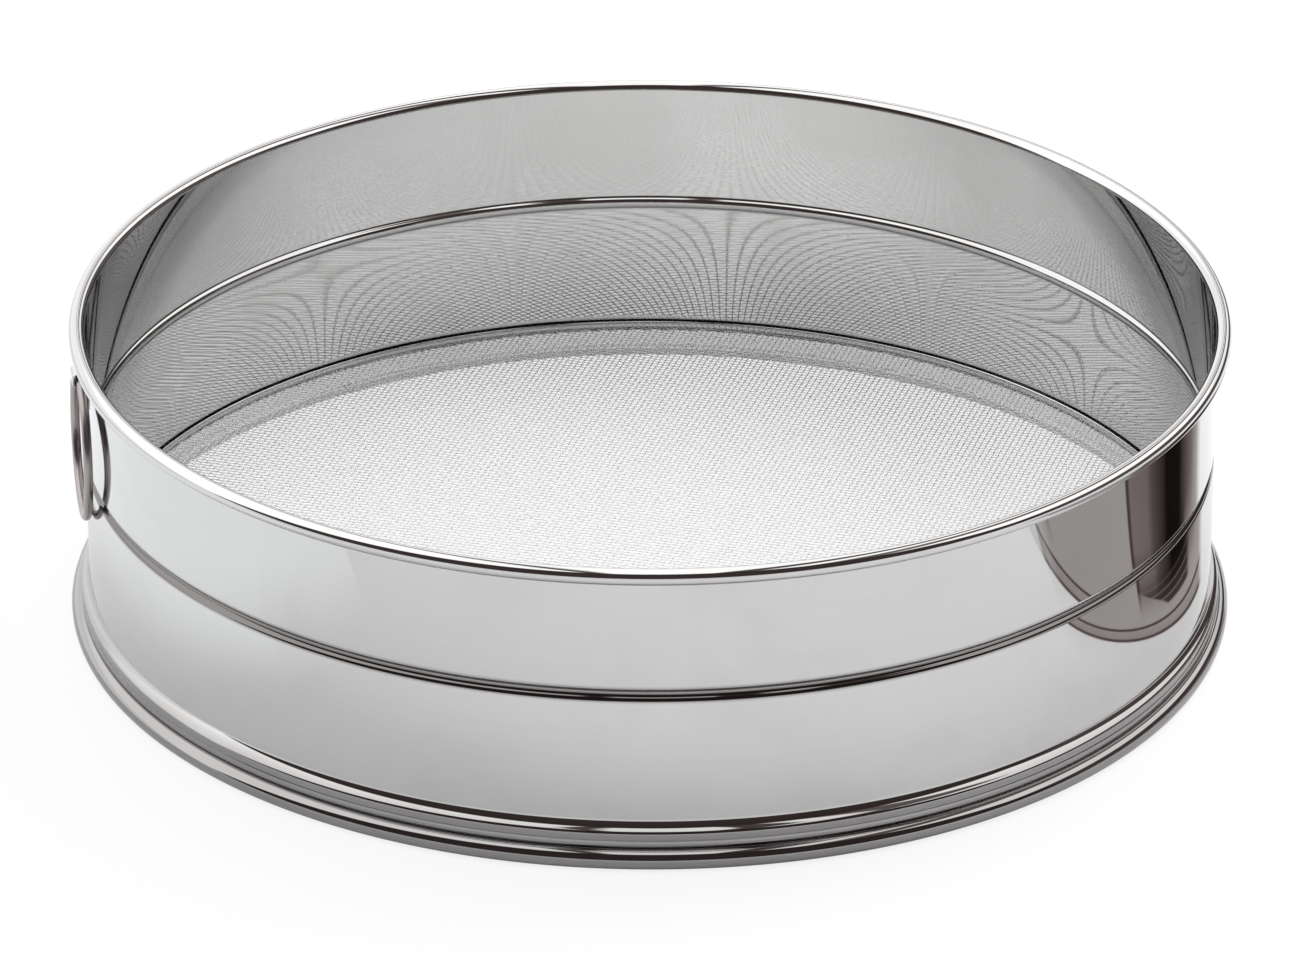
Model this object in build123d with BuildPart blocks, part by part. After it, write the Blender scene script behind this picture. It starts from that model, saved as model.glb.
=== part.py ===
"""Drum sieve: two hoops of thin sheet, a woven mesh clamped between them and a hanging ring.

The sieve stands on its rolled foot at z = 0, its axis is the Z axis, and the
hanging ring is on the -X side. All lengths are in millimetres.
"""

from build123d import *
from math import acos, asin, atan2, ceil, cos, degrees, radians, sin
import os

# Overall sizes, over the rolled foot and from the table to the rim.
overall_diameter = 300.0
overall_height = 82.0

# Sheet of both hoops, the fit between nested layers, and the overrun of all cuts.
sheet = 0.5
seat_gap = 0.1
overrun = 5.0

# Bends in the sheet and the two rolled edges are made of short flats that touch the circle.
# A wide bend has two corners and a slight one has one. A rolled edge and the wire ring have sides.
wide_corners = 2
slight_corners = 1
roll_sides = 8
ring_sides = 8

# Rolled foot and the neck above it that carries the mesh.
foot_roll_radius = 2.5
neck_height = 8.4

# Woven mesh, kept as one holed sheet as thick as the cloth.
cloth_thickness = 0.5
mesh_pitch = 19.0
mesh_bar = 4.0
mesh_border = 3.0
weave_turn = -10.0

# Angle hoop that presses the mesh on to the neck.
hoop_thickness = 0.6
hoop_lip_inset = 0.7

# Drum wall: skirt pressed over the seam, shoulder, stiffening groove and rolled rim.
# Its bends are measured to the middle of the sheet.
skirt_overhang = 0.5
shoulder_step = 2.1
cove_bend = 3.4
groove_height = 46.8
groove_width = 4.4
groove_depth = 0.8
groove_lip_bend = 1.5
rim_roll_radius = 2.1

# Hanging ring, and the strap under the rim that it swings in.
ring_diameter = 40.0
ring_wire = 2.4
ring_wall_gap = 0.3
hinge_drop = 8.5
strap_width = 6.0
strap_sheet = 0.6
strap_clearance = 0.15
strap_tail = 7.0
strap_stub = 0.5
strap_bend = 0.6
strap_loop_bend = 1.2
strap_corner_radius = 1.5

half_sheet = sheet / 2

# Foot ring: the outside of the roll sets the diameter, and its inner side runs up as the neck.
foot_roll_r = overall_diameter / 2 - foot_roll_radius
foot_roll_z = foot_roll_radius
neck_inner = foot_roll_r - foot_roll_radius
neck_outer = neck_inner + sheet

# The seam grows outwards from the neck: hem of the mesh, angle hoop, skirt of the wall.
hem_inner = neck_outer + seat_gap
hem_outer = hem_inner + cloth_thickness
hoop_inner = hem_outer + seat_gap
hoop_outer = hoop_inner + hoop_thickness
hoop_lip_inner = neck_inner - hoop_lip_inset
skirt_inner = hoop_outer + seat_gap
skirt_middle = skirt_inner + half_sheet

# The seam grows upwards from the neck: mesh, then the lip of the angle hoop.
mesh_bottom = neck_height + seat_gap
mesh_top = mesh_bottom + cloth_thickness
hoop_lip_bottom = mesh_top + seat_gap
hoop_top = hoop_lip_bottom + hoop_thickness

# The skirt ends just above the rolled foot. The hoop and the hem stop short of its edge.
skirt_bottom = foot_roll_z + foot_roll_radius + seat_gap
seam_bottom = skirt_bottom + skirt_overhang

# Shoulder and cove blend the skirt into the wall. The shoulder bends round the hoop's corner.
wall_middle = skirt_middle - shoulder_step
wall_inner = wall_middle - half_sheet
wall_outer = wall_middle + half_sheet
shoulder_bend = hoop_thickness + seat_gap + half_sheet
shoulder_r = skirt_middle - shoulder_bend
shoulder_z = hoop_lip_bottom
shoulder_turn = degrees(acos(1 - shoulder_step / (shoulder_bend + cove_bend)))
cove_r = wall_middle + cove_bend
cove_z = shoulder_z + (shoulder_bend + cove_bend) * sin(radians(shoulder_turn))

# Stiffening groove, pressed inwards between two rounded lips.
groove_turn = degrees(2 * atan2(groove_depth, groove_width / 2))
groove_floor_bend = groove_width / 2 / sin(radians(groove_turn)) - groove_lip_bend
groove_lip_r = wall_middle - groove_lip_bend
groove_floor_r = wall_middle - groove_depth + groove_floor_bend
groove_low = groove_height - groove_width / 2
groove_high = groove_height + groove_width / 2

# Rolled rim.
rim_roll_r = wall_inner + rim_roll_radius
rim_roll_z = overall_height - rim_roll_radius

# Hanging ring at rest. Inside the strap its curve drops by the sag at the strap's edges.
ring_radius = (ring_diameter - ring_wire) / 2
ring_plane_r = wall_outer + ring_wall_gap + ring_wire / 2
hinge_z = overall_height - hinge_drop
ring_centre_z = hinge_z - ring_radius
ring_sag = ring_radius * (1 - cos(asin(strap_width / 2 / ring_radius)))

# Strap: flat ends against the wall, and a square loop with room for the ring to swing over.
# Its path runs along the middle of the strip.
loop_half = ring_wire / 2 + ring_sag + strap_clearance + strap_sheet / 2
strap_r = wall_outer + seat_gap + strap_sheet / 2
loop_r = ring_plane_r + loop_half
loop_low = hinge_z - loop_half
loop_high = hinge_z + loop_half
strap_low = loop_low - strap_tail
strap_high = loop_high + strap_sheet / 2 + strap_stub

os.makedirs("parts", exist_ok=True)


def bend(centre_r, centre_z, radius, start, turn, corners):
    """The corners of a bend in the section, whose flats touch a circle between the bend's two ends."""
    step = turn / corners
    reach = radius / cos(radians(step / 2))
    angles = [radians(start + step / 2 + i * step) for i in range(corners)]
    return [(centre_r + reach * cos(angle), centre_z + reach * sin(angle)) for angle in angles]


def wall_side(shift):
    """One side of the drum wall's sheet, from the skirt's lower edge up to the middle of the rim."""
    outward = shoulder_bend + shift
    inward = cove_bend - shift
    lip = groove_lip_bend + shift
    floor = groove_floor_bend - shift
    return [
        (skirt_middle + shift, skirt_bottom),
        *bend(shoulder_r, shoulder_z, outward, 0, shoulder_turn, wide_corners),
        *bend(cove_r, cove_z, inward, 180 + shoulder_turn, -shoulder_turn, wide_corners),
        *bend(groove_lip_r, groove_low, lip, 0, groove_turn, slight_corners),
        *bend(groove_floor_r, groove_height, floor, 180 + groove_turn, -2 * groove_turn, wide_corners),
        *bend(groove_lip_r, groove_high, lip, -groove_turn, groove_turn, slight_corners),
        (wall_middle + shift, rim_roll_z),
    ]


# Foot ring: the neck and the foot rolled round its wire. The sieve stands on the lowest flat of the roll.
with BuildPart() as foot_ring:
    with BuildSketch(Plane.XZ):
        with Locations((neck_inner, foot_roll_z)):
            Rectangle(sheet, neck_height - foot_roll_z, align=(Align.MIN, Align.MIN))
        with Locations((foot_roll_r, foot_roll_z)):
            RegularPolygon(foot_roll_radius, roll_sides, major_radius=False, rotation=180 / roll_sides)
    revolve(axis=Axis.Z)
foot_ring.part.label = "foot_ring"
export_step(foot_ring.part, "parts/foot_ring.step")

# Woven mesh: a tight sheet over the neck with its hem turned down outside it.
mesh_reach = neck_inner - mesh_border
mesh_hole = mesh_pitch - mesh_bar
mesh_rows = 2 * ceil(mesh_reach / mesh_pitch) + 1
with BuildSketch(Plane.XY.offset(mesh_bottom).rotated((0, 0, weave_turn))) as mesh_gaps:
    with GridLocations(mesh_pitch, mesh_pitch, mesh_rows, mesh_rows):
        Rectangle(mesh_hole, mesh_hole)
    Circle(mesh_reach, mode=Mode.INTERSECT)

with BuildPart() as mesh:
    with BuildSketch(Plane.XY.offset(mesh_bottom)):
        Circle(hem_outer)
    extrude(amount=cloth_thickness)
    with BuildSketch(Plane.XY.offset(seam_bottom)):
        Circle(hem_outer)
        Circle(hem_inner, mode=Mode.SUBTRACT)
    extrude(until=Until.NEXT)
    extrude(mesh_gaps.sketch, amount=overrun, both=True, mode=Mode.SUBTRACT)
mesh.part.label = "mesh"
export_step(mesh.part, "parts/mesh.step")

# Angle hoop over the edge of the mesh, its outer corner bent to fit inside the shoulder.
with BuildPart() as retaining_hoop:
    with BuildSketch(Plane.XZ):
        with BuildLine():
            Polyline(
                (hoop_lip_inner, hoop_top),
                *bend(hoop_inner, hoop_lip_bottom, hoop_thickness, 90, -90, wide_corners),
                (hoop_outer, seam_bottom),
                (hoop_inner, seam_bottom),
                (hoop_inner, hoop_lip_bottom),
                (hoop_lip_inner, hoop_lip_bottom),
                close=True,
            )
        make_face()
    revolve(axis=Axis.Z)
retaining_hoop.part.label = "retaining_hoop"
export_step(retaining_hoop.part, "parts/retaining_hoop.step")

# Drum wall, one sheet from the skirt at the seam up to the rim rolled round its wire.
with BuildPart() as drum_wall:
    with BuildSketch(Plane.XZ):
        with BuildLine():
            Polyline(*wall_side(half_sheet), *reversed(wall_side(-half_sheet)), close=True)
        make_face()
        with Locations((rim_roll_r, rim_roll_z)):
            RegularPolygon(rim_roll_radius, roll_sides, major_radius=False, rotation=180 / roll_sides)
    revolve(axis=Axis.Z)
drum_wall.part.label = "drum_wall"
export_step(drum_wall.part, "parts/drum_wall.step")

# Hanging ring, a closed loop of round wire that hangs flat beside the wall.
ring_plane = Plane(origin=(-ring_plane_r, 0, ring_centre_z), x_dir=(0, 1, 0), z_dir=(0, 0, 1))
with BuildPart() as hanging_ring:
    with BuildSketch(ring_plane):
        with Locations((ring_radius, 0)):
            RegularPolygon(ring_wire / 2, ring_sides)
    revolve(axis=Axis(ring_plane.origin, (1, 0, 0)))
hanging_ring.part.label = "hanging_ring"
export_step(hanging_ring.part, "parts/hanging_ring.step")

# Strap: tail, loop and stub bent from one strip, with rounded corners on the tail.
with BuildPart() as hanger_strap:
    with BuildSketch(Plane.XZ):
        with BuildLine():
            FilletPolyline(
                (-strap_r, strap_low),
                (-strap_r, loop_low),
                (-loop_r, loop_low),
                (-loop_r, loop_high),
                (-strap_r, loop_high),
                (-strap_r, strap_high),
                radius=(strap_bend, strap_loop_bend, strap_loop_bend, strap_bend),
            )
        trace(line_width=strap_sheet)
    extrude(amount=strap_width / 2, both=True)
    fillet(hanger_strap.edges().filter_by(Axis.X).group_by(Axis.Z)[0], radius=strap_corner_radius)
hanger_strap.part.label = "hanger_strap"
export_step(hanger_strap.part, "parts/hanger_strap.step")
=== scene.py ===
"""Drum sieve of polished steel sheet, with woven wire cloth and a hanging ring, on a pale floor.

Every length is in metres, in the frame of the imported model: the sieve stands on z = 0, its
axis is the Z axis and the hanging ring is on the -X side.
"""

import math

import bmesh
import bpy
from mathutils import Matrix, Vector


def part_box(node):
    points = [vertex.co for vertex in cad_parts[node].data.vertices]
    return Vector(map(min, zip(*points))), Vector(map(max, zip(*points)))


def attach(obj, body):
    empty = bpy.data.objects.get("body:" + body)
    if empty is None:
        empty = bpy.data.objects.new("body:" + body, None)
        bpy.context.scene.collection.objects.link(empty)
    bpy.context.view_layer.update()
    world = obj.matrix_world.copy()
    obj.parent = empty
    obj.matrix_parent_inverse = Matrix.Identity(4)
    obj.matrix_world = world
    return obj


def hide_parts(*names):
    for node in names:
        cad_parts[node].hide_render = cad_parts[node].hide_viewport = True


bl_info = {
    "name": "Drum Sieve",
    "version": (1, 0, 0),
    "blender": (4, 5, 0),
    "location": "3D View > Sidebar > Sieve",
    "description": "Builds a steel drum sieve with its wire cloth, hanging ring and studio",
    "category": "Add Mesh",
}

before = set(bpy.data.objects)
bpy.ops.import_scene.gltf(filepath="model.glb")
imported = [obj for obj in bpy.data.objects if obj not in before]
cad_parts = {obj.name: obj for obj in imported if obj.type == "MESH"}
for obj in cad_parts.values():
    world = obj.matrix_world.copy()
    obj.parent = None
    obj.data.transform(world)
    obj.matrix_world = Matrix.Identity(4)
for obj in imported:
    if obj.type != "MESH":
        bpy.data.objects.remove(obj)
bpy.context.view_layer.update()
FOOT_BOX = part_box("foot_ring")
WALL_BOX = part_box("drum_wall")
RING_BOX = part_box("hanging_ring")
STRAP_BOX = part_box("hanger_strap")

MM = 0.001
FULL_TURN = 2 * math.pi

# Faces round the drum, the hem and the hanging ring.
AROUND = 320
HEM_AROUND = 200
RING_AROUND = 144

# Fits, bends and offsets of the sheets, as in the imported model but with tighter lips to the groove.
SEAT_GAP = 0.1 * MM
CLOTH_THICKNESS = 0.5 * MM
NECK_INSET = 4.75 * MM
LIP_INSET = 0.7 * MM
SHOULDER_STEP = 2.1 * MM
COVE_BEND = 3.4 * MM
GROOVE_LIP_BEND = 1.3 * MM
RING_WALL_GAP = 0.3 * MM
HINGE_DROP = 8.5 * MM
STRAP_SHEET = 0.6 * MM

FLOOR_REACH = 6.0
WHITE = (1.0, 1.0, 1.0, 1.0)


# Settings that a user would change.


class SieveSizes(bpy.types.PropertyGroup):
    """Sizes of the sieve's sheets and rolled edges."""

    foot_radius: bpy.props.FloatProperty(
        name="Foot radius", description="From the axis to the outside of the rolled foot",
        default=FOOT_BOX[1][0], unit="LENGTH", precision=4)
    height: bpy.props.FloatProperty(
        name="Height", description="From the table to the top of the rim",
        default=WALL_BOX[1][2], unit="LENGTH", precision=4)
    sheet: bpy.props.FloatProperty(
        name="Sheet", description="Thickness of the drum's and foot's sheet",
        default=0.5 * MM, unit="LENGTH", precision=5)
    hoop_sheet: bpy.props.FloatProperty(
        name="Hoop sheet", description="Thickness of the hoop that holds the cloth",
        default=0.6 * MM, unit="LENGTH", precision=5)
    foot_roll: bpy.props.FloatProperty(
        name="Foot roll", description="Outer radius of the rolled foot",
        default=2.75 * MM, unit="LENGTH", precision=5)
    rim_roll: bpy.props.FloatProperty(
        name="Rim roll", description="Outer radius of the rolled rim",
        default=2.1 * MM, unit="LENGTH", precision=5)
    neck_height: bpy.props.FloatProperty(
        name="Neck height", description="From the table to the edge that carries the cloth",
        default=FOOT_BOX[1][2], unit="LENGTH", precision=5)
    groove_height: bpy.props.FloatProperty(
        name="Groove height", description="From the table to the middle of the stiffening groove",
        default=46.8 * MM, unit="LENGTH", precision=4)
    groove_width: bpy.props.FloatProperty(
        name="Groove width", description="Width of the stiffening groove",
        default=4.3 * MM, unit="LENGTH", precision=5)
    groove_depth: bpy.props.FloatProperty(
        name="Groove depth", description="How far the groove is pressed into the drum",
        default=1.05 * MM, unit="LENGTH", precision=5)
    ring_diameter: bpy.props.FloatProperty(
        name="Ring diameter", description="Hanging ring across its outside",
        default=RING_BOX[1][2] - RING_BOX[0][2], unit="LENGTH", precision=4)
    ring_wire: bpy.props.FloatProperty(
        name="Ring wire", description="Diameter of the hanging ring's wire",
        default=RING_BOX[1][0] - RING_BOX[0][0], unit="LENGTH", precision=5)
    strap_width: bpy.props.FloatProperty(
        name="Strap width", description="Width of the strap that holds the ring",
        default=STRAP_BOX[1][1] - STRAP_BOX[0][1], unit="LENGTH", precision=5)


class SieveCloth(bpy.types.PropertyGroup):
    """The woven wire cloth."""

    pitch: bpy.props.FloatProperty(
        name="Pitch", description="From one wire to the next",
        default=1.51 * MM, unit="LENGTH", precision=5)
    wire: bpy.props.FloatProperty(
        name="Wire", description="Diameter of the cloth's wire",
        default=0.32 * MM, unit="LENGTH", precision=5)
    turn: bpy.props.FloatProperty(
        name="Turn", description="Angle of the weave on the drum",
        default=math.radians(-24.5), unit="ROTATION")
    sides: bpy.props.IntProperty(
        name="Sides", description="Faces round each wire", default=5, min=3, max=8)
    waver: bpy.props.FloatProperty(
        name="Waver", description="How far the wires stray from straight lines",
        default=0.08 * MM, unit="LENGTH", precision=5)
    seed: bpy.props.IntProperty(
        name="Seed", description="Which wandering lines the wires follow", default=7)


class SieveFinish(bpy.types.PropertyGroup):
    """Colours and polish of the metal."""

    sheet_colour: bpy.props.FloatVectorProperty(
        name="Sheet", description="Colour of the polished sheet",
        default=(0.60, 0.596, 0.592), subtype="COLOR", min=0.0, max=1.0)
    sheet_stain: bpy.props.FloatVectorProperty(
        name="Sheet marks", description="Colour of the faint marks on the sheet",
        default=(0.555, 0.548, 0.543), subtype="COLOR", min=0.0, max=1.0)
    # Painted shade: a dark colour mixed into the sheet at the pressed seam, the rolled foot and the groove.
    sheet_painted_shade: bpy.props.FloatVectorProperty(
        name="Painted Shade", description="Colour of the shade painted on the sheet",
        default=(0.11, 0.099, 0.095), subtype="COLOR", min=0.0, max=1.0)
    cloth_colour: bpy.props.FloatVectorProperty(
        name="Cloth", description="Colour of the cloth's wires",
        default=(0.95, 0.96, 0.96), subtype="COLOR", min=0.0, max=1.0)
    ring_colour: bpy.props.FloatVectorProperty(
        name="Ring", description="Colour of the hanging ring's wire",
        default=(0.34, 0.315, 0.305), subtype="COLOR", min=0.0, max=1.0)
    polish: bpy.props.FloatProperty(
        name="Polish", description="Roughness of the polished sheet",
        default=0.016, min=0.0, max=1.0, subtype="FACTOR")


class SieveStudio(bpy.types.PropertyGroup):
    """Camera, floor and light."""

    azimuth: bpy.props.FloatProperty(
        name="Azimuth", description="Camera's angle round the sieve",
        default=math.radians(-8.5), unit="ROTATION")
    elevation: bpy.props.FloatProperty(
        name="Elevation", description="Camera's angle above the floor",
        default=math.radians(26.27), unit="ROTATION")
    distance: bpy.props.FloatProperty(
        name="Distance", description="From the camera to the point it looks at",
        default=2.338, unit="LENGTH")
    lens: bpy.props.FloatProperty(
        name="Lens", description="Focal length of the camera in millimetres",
        default=250.3, unit="CAMERA")
    aim: bpy.props.FloatVectorProperty(
        name="Aim", description="The point that the camera looks at",
        default=(0.0, 0.0, 0.0316), subtype="TRANSLATION", precision=4)
    roll: bpy.props.FloatProperty(
        name="Roll", description="Camera's tilt to one side",
        default=math.radians(0.15), unit="ROTATION")
    floor_colour: bpy.props.FloatVectorProperty(
        name="Floor", description="Colour of the floor",
        default=(0.86, 0.87, 0.89), subtype="COLOR", min=0.0, max=1.0)
    floor_glow: bpy.props.FloatProperty(
        name="Floor glow", description="How far the floor's shadow is washed out to the camera",
        default=0.8, min=0.0, max=1.0, subtype="FACTOR")
    floor_mirror_glow: bpy.props.FloatProperty(
        name="Mirrored floor glow", description="How far the floor's shadow is washed out in the metal",
        default=0.2, min=0.0, max=1.0, subtype="FACTOR")
    panel_light: bpy.props.FloatProperty(
        name="Panels", description="Brightness of the light panels overhead", default=1.65)
    key_light: bpy.props.FloatProperty(
        name="Key light", description="Power of the soft lamp behind the sieve",
        default=13.0, unit="POWER")


# Meshes from sections.


def arc(centre, radius, start, turn, step=9.0):
    """Points along an arc of the section, both ends included. Angles are in degrees."""
    count = max(2, math.ceil(abs(turn) / step))
    angles = [math.radians(start + turn * i / count) for i in range(count + 1)]
    return [(centre[0] + radius * math.cos(a), centre[1] + radius * math.sin(a)) for a in angles]


def directions(points):
    """The way that a line of points runs at each of them."""
    ways = [(b - a).normalized() for a, b in zip(points, points[1:])]
    return [ways[0]] + [(a + b).normalized() for a, b in zip(ways, ways[1:])] + [ways[-1]]


def sheet_section(line, thickness, cap_steps=4):
    """The closed outline of a sheet that runs along a line of points, with rounded edges."""
    points = [Vector(p) for p in line]
    ways = directions(points)
    half = thickness / 2
    left = [p + half * Vector((-w.y, w.x)) for p, w in zip(points, ways)]
    right = [p - half * Vector((-w.y, w.x)) for p, w in zip(points, ways)]

    def cap(point, way):
        across = Vector((way.y, -way.x))
        turns = [math.pi * i / cap_steps for i in range(1, cap_steps)]
        return [point + half * (math.sin(t) * way - math.cos(t) * across) for t in turns]

    end = cap(points[-1], ways[-1])
    start = cap(points[0], -ways[0])
    return left + end + right[::-1] + start


def lathe(name, outline, around=AROUND):
    """A ring-shaped mesh from a closed outline of radii and heights, turned about the Z axis."""
    bm = bmesh.new()
    count = len(outline)
    rows = []
    for i in range(around):
        a = FULL_TURN * i / around
        rows.append([bm.verts.new((p[0] * math.cos(a), p[0] * math.sin(a), p[1])) for p in outline])
    along = [0.0]
    for a, b in zip(outline, outline[1:] + outline[:1]):
        along.append(along[-1] + math.dist(a, b))
    uv = bm.loops.layers.uv.new("Surface")
    girth = FULL_TURN * max(p[0] for p in outline)
    for i in range(around):
        row, next_row = rows[i], rows[(i + 1) % around]
        for j in range(count):
            k = (j + 1) % count
            face = bm.faces.new((row[j], next_row[j], next_row[k], row[k]))
            spots = ((i, j), (i + 1, j), (i + 1, j + 1), (i, j + 1))
            for loop, (s, t) in zip(face.loops, spots):
                loop[uv].uv = (girth * s / around, along[t])
    bmesh.ops.recalc_face_normals(bm, faces=bm.faces)
    return finished(name, bm)


def finished(name, bm, sharp=50.0):
    """A new smooth-shaded object made from the bmesh, with its sharp corners kept."""
    mesh = bpy.data.meshes.new(name)
    bm.to_mesh(mesh)
    bm.free()
    mesh.shade_smooth()
    mesh.set_sharp_from_angle(angle=math.radians(sharp))
    piece = bpy.data.objects.new(name, mesh)
    bpy.context.scene.collection.objects.link(piece)
    return piece


def dress(piece, material, body):
    """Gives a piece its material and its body."""
    piece.data.materials.clear()
    piece.data.materials.append(material)
    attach(piece, body)


class Layout:
    """Radii and heights of the sheets' middle lines, worked out from the sizes."""

    def __init__(self, sizes):
        half = sizes.sheet / 2
        half_cloth = CLOTH_THICKNESS / 2
        self.foot = (sizes.foot_radius - sizes.foot_roll, sizes.foot_roll)
        self.foot_bend = sizes.foot_roll - half
        self.neck = sizes.foot_radius - NECK_INSET
        self.cloth_z = sizes.neck_height + SEAT_GAP + half_cloth
        self.hem = self.neck + half + SEAT_GAP + half_cloth
        self.hoop_inner = self.hem + half_cloth + SEAT_GAP
        self.hoop_leg = self.hoop_inner + sizes.hoop_sheet / 2
        self.lip_low = self.cloth_z + half_cloth + SEAT_GAP
        self.lip_inner = self.neck - half - LIP_INSET
        self.skirt = self.hoop_inner + sizes.hoop_sheet + SEAT_GAP + half
        self.skirt_low = 2 * sizes.foot_roll + SEAT_GAP
        self.shoulder_bend = sizes.hoop_sheet + SEAT_GAP + half
        self.wall = self.skirt - SHOULDER_STEP
        both = self.shoulder_bend + COVE_BEND
        self.shoulder_turn = math.degrees(math.acos(1 - SHOULDER_STEP / both))
        self.cove_z = self.lip_low + both * math.sin(math.radians(self.shoulder_turn))
        self.groove_turn = math.degrees(2 * math.atan2(sizes.groove_depth, sizes.groove_width / 2))
        sine = math.sin(math.radians(self.groove_turn))
        self.groove_floor = sizes.groove_width / 2 / sine - GROOVE_LIP_BEND
        self.rim = (self.wall - half + sizes.rim_roll, sizes.height - sizes.rim_roll)
        self.rim_bend = sizes.rim_roll - half
        self.ring_x = -(self.wall + half + RING_WALL_GAP + sizes.ring_wire / 2)
        self.ring_radius = (sizes.ring_diameter - sizes.ring_wire) / 2
        self.hinge_z = sizes.height - HINGE_DROP
        self.ring_z = self.hinge_z - self.ring_radius


# Node trees.


def put(tree, kind, inputs=(), **settings):
    """Adds a node, sets it up, and fills its inputs with values or joins them to outputs."""
    node = tree.nodes.new(kind)
    for key, value in settings.items():
        setattr(node, key, value)
    for key, value in dict(inputs).items():
        if isinstance(value, bpy.types.NodeSocket):
            tree.links.new(value, node.inputs[key])
        else:
            node.inputs[key].default_value = value
    return node


def calc(tree, operation, a, b=0.0, c=0.0):
    """The result of a Math node."""
    return put(tree, "ShaderNodeMath", {0: a, 1: b, 2: c}, operation=operation).outputs[0]


def product(tree, first, *others):
    """Values multiplied together."""
    for other in others:
        first = calc(tree, "MULTIPLY", first, other)
    return first


def mixed(tree, factor, a, b):
    """Two values mixed by a factor."""
    return put(tree, "ShaderNodeMix", {"Factor": factor, "A": a, "B": b}, data_type="FLOAT").outputs[0]


def mixed_colour(tree, factor, a, b):
    """Two colours mixed by a factor."""
    return put(tree, "ShaderNodeMix", {"Factor": factor, 6: a, 7: b}, data_type="RGBA").outputs[2]


def remap(tree, value, low, high, to_low, to_high, smooth=True):
    """A value moved from one range to another and held inside it."""
    limits = {0: value, 1: low, 2: high, 3: to_low, 4: to_high}
    kind = "SMOOTHSTEP" if smooth else "LINEAR"
    return put(tree, "ShaderNodeMapRange", limits, interpolation_type=kind).outputs[0]


def socket(tree, name, kind, in_out, default=None):
    """Gives a node group a socket."""
    made = tree.interface.new_socket(name=name, in_out=in_out, socket_type=kind)
    if default is not None:
        made.default_value = default


def new_material(name):
    """A material with an empty shader tree, and that tree."""
    material = bpy.data.materials.new(name)
    material.use_nodes = True
    material.node_tree.nodes.clear()
    return material, material.node_tree


# Metal finishes.


def polish_marks():
    """Fine lines left by polishing, soft smudges and gentle waves, as masks over the surface."""
    tree = bpy.data.node_groups.new("Polish Marks", "ShaderNodeTree")
    socket(tree, "Vector", "NodeSocketVector", "INPUT")
    socket(tree, "Line Scale", "NodeSocketFloat", "INPUT", 12.0)
    socket(tree, "Line Stretch", "NodeSocketVector", "INPUT", (1.0, 1.0, 300.0))
    socket(tree, "Smudge Scale", "NodeSocketFloat", "INPUT", 22.0)
    socket(tree, "Roughness", "NodeSocketFloat", "INPUT", 0.08)
    socket(tree, "Spread", "NodeSocketFloat", "INPUT", 0.08)
    socket(tree, "Marks", "NodeSocketFloat", "OUTPUT")
    socket(tree, "Roughness", "NodeSocketFloat", "OUTPUT")
    socket(tree, "Lines", "NodeSocketFloat", "OUTPUT")
    socket(tree, "Waves", "NodeSocketFloat", "OUTPUT")
    given = put(tree, "NodeGroupInput").outputs
    stretched = put(tree, "ShaderNodeVectorMath", {0: given["Vector"], 1: given["Line Stretch"]},
                    operation="MULTIPLY").outputs[0]
    lines = put(tree, "ShaderNodeTexNoise",
                {"Vector": stretched, "Scale": given["Line Scale"], "Detail": 5.0, "Roughness": 0.7})
    smudge = put(tree, "ShaderNodeTexNoise",
                 {"Vector": given["Vector"], "Scale": given["Smudge Scale"], "Detail": 3.0,
                  "Roughness": 0.55, "Distortion": 0.6})
    waves = put(tree, "ShaderNodeTexNoise",
                {"Vector": given["Vector"], "Scale": 16.0, "Detail": 1.0, "Roughness": 0.4})
    smudged = remap(tree, smudge.outputs["Fac"], 0.42, 0.72, 0.0, 1.0)
    lined = remap(tree, lines.outputs["Fac"], 0.3, 0.7, 0.0, 1.0)
    marks = calc(tree, "ADD", product(tree, smudged, 0.7), product(tree, lined, 0.3))
    rough = calc(tree, "MULTIPLY_ADD", marks, given["Spread"], given["Roughness"])
    put(tree, "NodeGroupOutput", {"Marks": marks, "Roughness": rough,
                                  "Lines": lines.outputs["Fac"], "Waves": waves.outputs["Fac"]})
    return tree


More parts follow.
